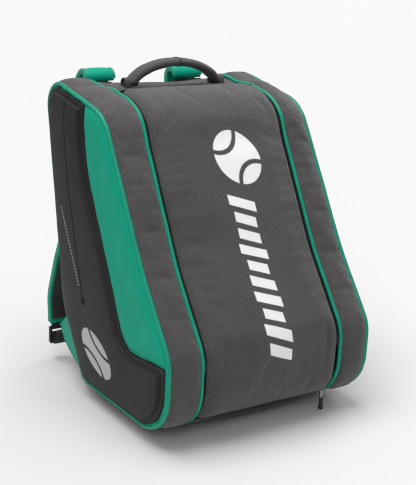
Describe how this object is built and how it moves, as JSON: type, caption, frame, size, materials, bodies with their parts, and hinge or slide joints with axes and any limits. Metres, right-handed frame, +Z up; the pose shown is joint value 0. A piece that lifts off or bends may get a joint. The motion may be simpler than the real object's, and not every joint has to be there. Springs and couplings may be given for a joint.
{
  "type": "racket backpack",
  "caption": "Tapered racket backpack with a zipped front flap, moulded side shells, racket sleeves, carry handle, lower zipped compartment and padded shoulder straps.",
  "frame": {"origin": "on the ground, under the middle of the overall box", "axes": "+X to the right of somebody who faces the front, -Y the front, +Z up"},
  "size_m": [0.393, 0.4571, 0.5343],
  "materials": {
    "woven_grey": "two-tone grey woven polyester",
    "green_fabric": "smooth coated green fabric",
    "green_piping": "glossy green piping",
    "shell_foam": "moulded foam shell, matt charcoal",
    "black_fabric": "black polyester",
    "zip_coil": "black coil zip",
    "stiffener": "polyethylene sheet",
    "mesh_foam": "black spacer mesh over foam",
    "grip_fabric": "dark grey padded fabric",
    "webbing": "black ribbed webbing",
    "strap_green": "green fabric over foam",
    "buckle_plastic": "black acetal",
    "slider_metal": "plated zinc",
    "pull_plastic": "black moulded rubber"
  },
  "bodies": {
    "bag": {"back_panel": "black_fabric", "bag_zip_half": "zip_coil", "base_board": "stiffener", "base_cushion": "black_fabric", "base_panel": "black_fabric", "frame_sheet": "stiffener", "front_lower_panel": "woven_grey", "left_back_pad": "mesh_foam", "left_divider": "black_fabric", "left_front_band": "woven_grey", "left_handle_patch": "black_fabric", "left_handle_saddle": "webbing", "left_inner_piping": "green_piping", "left_lower_webbing": "webbing", "left_outer_piping": "green_piping", "left_side_panel": "green_fabric", "left_side_shell": "shell_foam", "left_wing": "green_fabric", "lower_zip_chain": "zip_coil", "lumbar_pad": "mesh_foam", "right_back_pad": "mesh_foam", "right_divider": "black_fabric", "right_front_band": "woven_grey", "right_handle_patch": "black_fabric", "right_handle_saddle": "webbing", "right_inner_piping": "green_piping", "right_lower_webbing": "webbing", "right_outer_piping": "green_piping", "right_side_panel": "green_fabric", "right_side_shell": "shell_foam", "right_wing": "green_fabric", "shelf_panel": "black_fabric", "top_yoke": "woven_grey"},
    "flap": {"flap_panel": "woven_grey", "flap_zip_half": "zip_coil"},
    "handle": {"handle_grip": "grip_fabric", "handle_webbing": "webbing"},
    "lower_slider": {"lower_slider": "slider_metal"},
    "lower_pull": {"lower_pull_tab": "slider_metal", "lower_pull_grip": "buckle_plastic"},
    "left_strap": {"left_strap_pad": "strap_green", "left_strap_mesh": "mesh_foam", "left_strap_seam": "webbing", "left_lock_loop": "webbing"},
    "left_lock": {"left_ladder_lock": "buckle_plastic"},
    "left_top_slider": {"left_top_slider": "slider_metal"},
    "left_top_pull": {"left_top_pull": "pull_plastic"},
    "right_strap": {"right_strap_pad": "strap_green", "right_strap_mesh": "mesh_foam", "right_strap_seam": "webbing", "right_lock_loop": "webbing"},
    "right_lock": {"right_ladder_lock": "buckle_plastic"},
    "right_top_slider": {"right_top_slider": "slider_metal"},
    "right_top_pull": {"right_top_pull": "pull_plastic"}
  },
  "joints": [
    {"name": "flap_fold", "type": "hinge", "parent": "bag", "child": "flap", "pos_m": [0, -0.22766, 0.118], "axis": [1, 0, 0], "range_deg": [0, 120]},
    {"name": "handle_tilt", "type": "hinge", "parent": "bag", "child": "handle", "pos_m": [0, 0.09834, 0.49731], "axis": [1, 0, 0], "range_deg": [-30, 40]},
    {"name": "lower_zip_slide", "type": "slide", "parent": "bag", "child": "lower_slider", "axis": [1, 0, 0], "range_m": [-0.236, 0]},
    {"name": "lower_pull_swing", "type": "hinge", "parent": "lower_slider", "child": "lower_pull", "pos_m": [0.118, -0.20079, 0.03288], "axis": [1, 0, 0], "range_deg": [-80, 8]},
    {"name": "left_strap_swing", "type": "hinge", "parent": "bag", "child": "left_strap", "pos_m": [-0.091, 0.19834, 0.48], "axis": [1, 0, 0], "range_deg": [0, 10], "deforming": ["left_lower_webbing"]},
    {"name": "left_lock_tilt", "type": "hinge", "parent": "left_strap", "child": "left_lock", "pos_m": [-0.16, 0.19234, 0.059], "axis": [1, 0, 0], "range_deg": [-25, 25]},
    {"name": "left_zip_slide", "type": "slide", "parent": "bag", "child": "left_top_slider", "axis": [1, 0, 0], "range_m": [-0.105, 0]},
    {"name": "left_pull_lift", "type": "hinge", "parent": "left_top_slider", "child": "left_top_pull", "pos_m": [-0.008, 0.06553, 0.48917], "axis": [1, 0, 0], "range_deg": [0, 140]},
    {"name": "right_strap_swing", "type": "hinge", "parent": "bag", "child": "right_strap", "pos_m": [0.091, 0.19834, 0.48], "axis": [1, 0, 0], "range_deg": [0, 10], "deforming": ["right_lower_webbing"]},
    {"name": "right_lock_tilt", "type": "hinge", "parent": "right_strap", "child": "right_lock", "pos_m": [0.16, 0.19234, 0.059], "axis": [1, 0, 0], "range_deg": [-25, 25]},
    {"name": "right_zip_slide", "type": "slide", "parent": "bag", "child": "right_top_slider", "axis": [1, 0, 0], "range_m": [0, 0.105]},
    {"name": "right_pull_lift", "type": "hinge", "parent": "right_top_slider", "child": "right_top_pull", "pos_m": [0.008, 0.06553, 0.48917], "axis": [1, 0, 0], "range_deg": [0, 140]}
  ]
}
